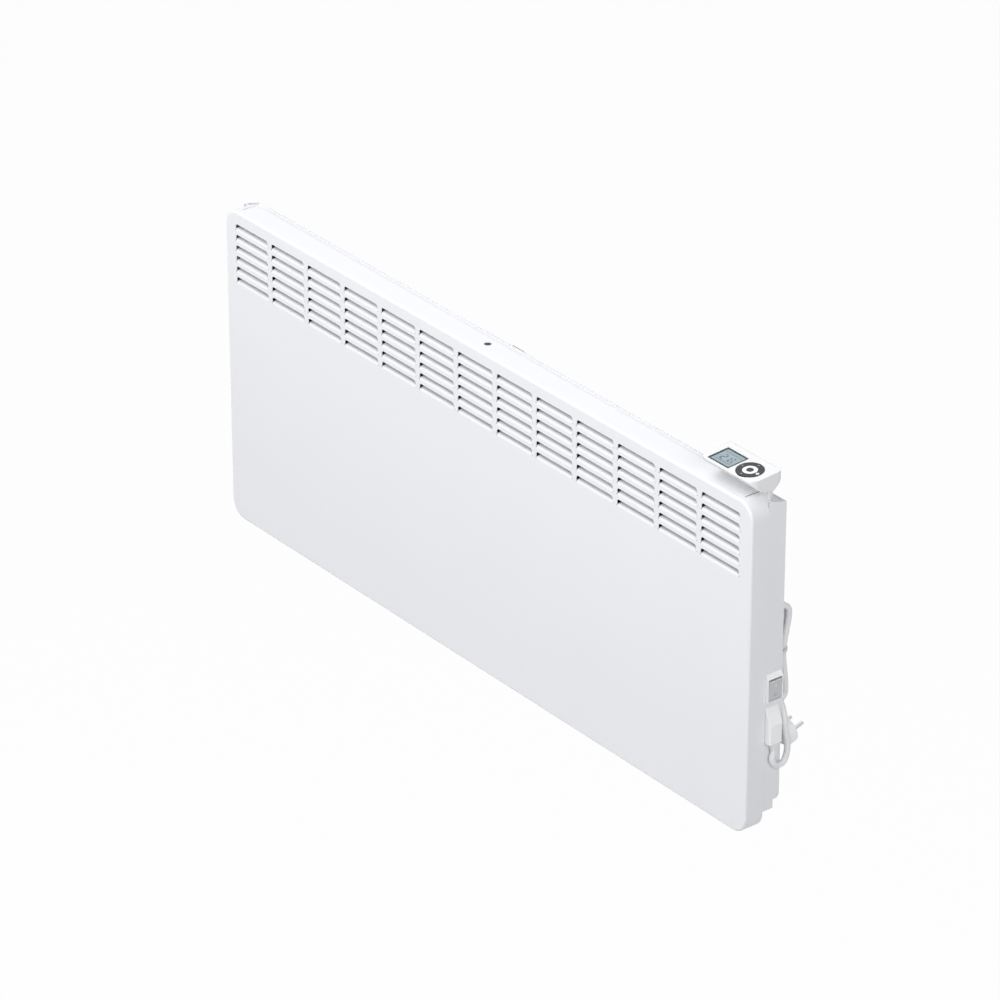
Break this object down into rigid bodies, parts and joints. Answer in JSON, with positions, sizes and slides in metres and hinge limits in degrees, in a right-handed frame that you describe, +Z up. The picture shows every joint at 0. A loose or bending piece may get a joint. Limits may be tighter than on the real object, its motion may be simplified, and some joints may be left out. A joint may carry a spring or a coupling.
{
  "type": "wall panel convector heater",
  "caption": "Flat wall-hung electric panel heater with a louvred front cover, a control housing on its top edge, a side switch, a wall bracket and a supply cord with plug.",
  "frame": {"origin": "middle of the wall bracket's four screw holes, on the wall plane", "axes": "+X to the right as the viewer faces the heater, +Y into the wall, +Z up"},
  "size_m": [1.0588, 0.1, 0.4853],
  "materials": {
    "white_enamel": "smooth white powder coat",
    "casing_enamel": "smooth off-white powder coat",
    "bracket_steel": "zinc plated",
    "screw_steel": "zinc plated",
    "bright_sheet": "bright",
    "element_aluminium": "dull extruded",
    "element_steel": "heat darkened",
    "ceramic": "unglazed ceramic",
    "housing_white": "fine satin white plastic",
    "display_dark": "dark rim",
    "display_blue": "pale blue display window",
    "key_grey": "dark blue grey satin",
    "collar_white": "satin",
    "board_green": "circuit board",
    "component_black": "moulded cases",
    "rubber_grey": "soft domes",
    "natural_nylon": "natural nylon",
    "rocker_grey": "light grey",
    "cord_white": "smooth flexible sheath",
    "plug_white": "satin moulded",
    "nickel": "nickel plated",
    "spring_steel": "wire"
  },
  "bodies": {
    "heater": {"front_cover": "white_enamel", "rear_casing": "casing_enamel", "cover_screws": "screw_steel", "bracket_upper_rail": "bracket_steel", "bracket_lower_rail": "bracket_steel", "bracket_uprights": "bracket_steel", "bracket_rivets": "screw_steel", "latch_guide": "natural_nylon", "latch_spring": "spring_steel", "element_profile": "element_aluminium", "element_rod": "element_steel", "element_bushes": "ceramic", "element_bracket_left": "bright_sheet", "element_bracket_right": "bright_sheet", "heat_shield": "bright_sheet", "air_deflector": "bright_sheet", "partition_plate": "bright_sheet", "cutout_bracket": "bright_sheet", "thermal_cutout": "component_black", "terminal_block": "natural_nylon", "power_board": "board_green", "power_board_components": "component_black", "board_standoffs": "natural_nylon", "room_sensor": "component_black", "sensor_clip": "natural_nylon", "control_cover": "housing_white", "control_base": "housing_white", "control_board": "board_green", "board_pillars": "housing_white", "display_module": "component_black", "display_frame": "display_dark", "display_window": "display_blue", "key_collar": "collar_white", "key_domes": "rubber_grey", "switch_frame": "housing_white", "cord_entry_housing": "housing_white", "cord_gland": "housing_white", "supply_cord": "cord_white", "cord_hank": "cord_white", "cord_tail": "cord_white", "hank_tie": "rubber_grey", "plug_body": "plug_white", "plug_pins": "nickel", "plug_earth_clips": "nickel"},
    "latch": {"bracket_latch": "bracket_steel"},
    "rocker": {"switch_rocker": "rocker_grey"},
    "left_key": {"key_left": "key_grey"},
    "rear_key": {"key_back": "key_grey"},
    "right_key": {"key_right": "key_grey"},
    "front_key": {"key_front": "key_grey"},
    "middle_key": {"key_centre": "key_grey"}
  },
  "joints": [
    {"name": "latch_slide", "type": "slide", "parent": "heater", "child": "latch", "axis": [0, 0, -1], "range_m": [0, 0.005], "stiffness_N_per_m": 600, "springref_m": -0.004, "deforming": ["latch_spring"]},
    {"name": "rocker_tilt", "type": "hinge", "parent": "heater", "child": "rocker", "pos_m": [0.5208, -0.0607, -0.09125], "axis": [0, -1, 0], "range_deg": [0, 8]},
    {"name": "left_key_press", "type": "slide", "parent": "heater", "child": "left_key", "axis": [0, 0.0645, -0.9979], "range_m": [0, 0.0005], "stiffness_N_per_m": 2000, "springref_m": -0.0003},
    {"name": "rear_key_press", "type": "slide", "parent": "heater", "child": "rear_key", "axis": [0, 0.0645, -0.9979], "range_m": [0, 0.0005], "stiffness_N_per_m": 2000, "springref_m": -0.0003},
    {"name": "right_key_press", "type": "slide", "parent": "heater", "child": "right_key", "axis": [0, 0.0645, -0.9979], "range_m": [0, 0.0005], "stiffness_N_per_m": 2000, "springref_m": -0.0003},
    {"name": "front_key_press", "type": "slide", "parent": "heater", "child": "front_key", "axis": [0, 0.0645, -0.9979], "range_m": [0, 0.0005], "stiffness_N_per_m": 2000, "springref_m": -0.0003},
    {"name": "middle_key_press", "type": "slide", "parent": "heater", "child": "middle_key", "axis": [0, 0.0645, -0.9979], "range_m": [0, 0.0005], "stiffness_N_per_m": 2000, "springref_m": -0.0003}
  ]
}
